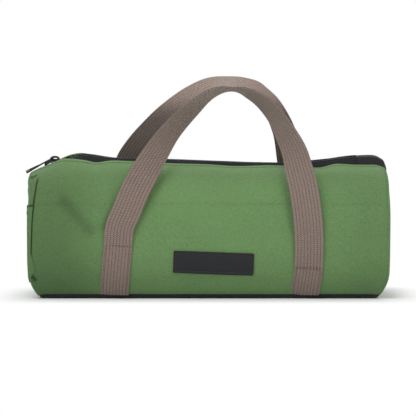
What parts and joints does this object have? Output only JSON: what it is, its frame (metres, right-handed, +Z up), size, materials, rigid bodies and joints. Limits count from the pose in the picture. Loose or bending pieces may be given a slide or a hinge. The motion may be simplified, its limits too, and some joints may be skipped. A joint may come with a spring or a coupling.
{
  "type": "zipped canvas tool bag",
  "caption": "Barrel-shaped canvas tool organizer bag with a zip along its top, a stiffened base and webbing carry handles.",
  "frame": {"origin": "on the ground under the middle of the barrel, on the base's flat underside", "axes": "+X along the bag to its right end, -Y out of the front, +Z up"},
  "size_m": [0.4935, 0.1928, 0.2977],
  "materials": {
    "canvas": "matt cotton canvas",
    "webbing": "ribbed woven webbing",
    "base_cloth": "coated black cloth",
    "base_board": "matt",
    "binding": "woven binding tape",
    "zip_tape": "woven tape",
    "zip_teeth": "satin moulded teeth",
    "slider_metal": "black enamel",
    "patch_leather": "smooth black leather",
    "lining": "thin black lining cloth",
    "elastic": "ribbed elastic"
  },
  "bodies": {
    "bag": {"base_panel": "base_cloth", "base_board": "base_board", "front_panel": "canvas", "back_panel": "canvas", "left_end_panel": "canvas", "right_end_panel": "canvas", "left_end_pocket": "canvas", "left_seam_binding": "binding", "right_seam_binding": "binding", "left_zip_end": "zip_tape", "right_zip_end": "zip_tape", "zip_end_stop": "slider_metal", "front_handle_left_end": "webbing", "front_handle_right_end": "webbing", "back_handle_left_end": "webbing", "back_handle_right_end": "webbing", "front_patch": "patch_leather", "inner_front_pocket": "lining", "inner_tool_loops": "elastic"},
    "front_mouth": {"front_mouth_edge": "canvas", "front_zip_tape": "zip_tape", "front_zip_teeth": "zip_teeth"},
    "back_mouth": {"back_mouth_edge": "canvas", "back_zip_tape": "zip_tape", "back_zip_teeth": "zip_teeth"},
    "slider": {"zip_slider": "slider_metal"},
    "pull": {"zip_pull": "slider_metal"},
    "front_strap": {"front_handle": "webbing"},
    "back_strap": {"back_handle": "webbing"}
  },
  "joints": [
    {"name": "zip_slide", "type": "slide", "parent": "bag", "child": "slider", "axis": [1, 0, 0], "range_m": [0, 0.4], "deforming": ["front_zip_tape", "back_zip_tape", "front_zip_teeth", "back_zip_teeth"]},
    {"name": "front_mouth_fold", "type": "hinge", "parent": "bag", "child": "front_mouth", "pos_m": [0, -0.07157, 0.15097], "axis": [1, 0, 0], "range_deg": [0, 35]},
    {"name": "back_mouth_fold", "type": "hinge", "parent": "bag", "child": "back_mouth", "pos_m": [0, 0.07157, 0.15097], "axis": [-1, 0, 0], "range_deg": [0, 35]},
    {"name": "pull_swing", "type": "hinge", "parent": "slider", "child": "pull", "pos_m": [-0.21185, 0, 0.18945], "axis": [0, 1, 0], "range_deg": [0, 195]},
    {"name": "front_strap_fold", "type": "hinge", "parent": "bag", "child": "front_strap", "pos_m": [-0.1195, -0.09193, 0.068], "axis": [0.9933, 0.0143, -0.1151], "range_deg": [0, 105]},
    {"name": "back_strap_fold", "type": "hinge", "parent": "bag", "child": "back_strap", "pos_m": [-0.121, 0.0917, 0.06], "axis": [-0.9997, 0.0026, 0.0242], "range_deg": [0, 105]}
  ],
  "couplings": [
    {"joint": "front_mouth_fold", "follows": "zip_slide", "rad_per_m": 1.52},
    {"joint": "back_mouth_fold", "follows": "zip_slide", "rad_per_m": 1.52}
  ]
}
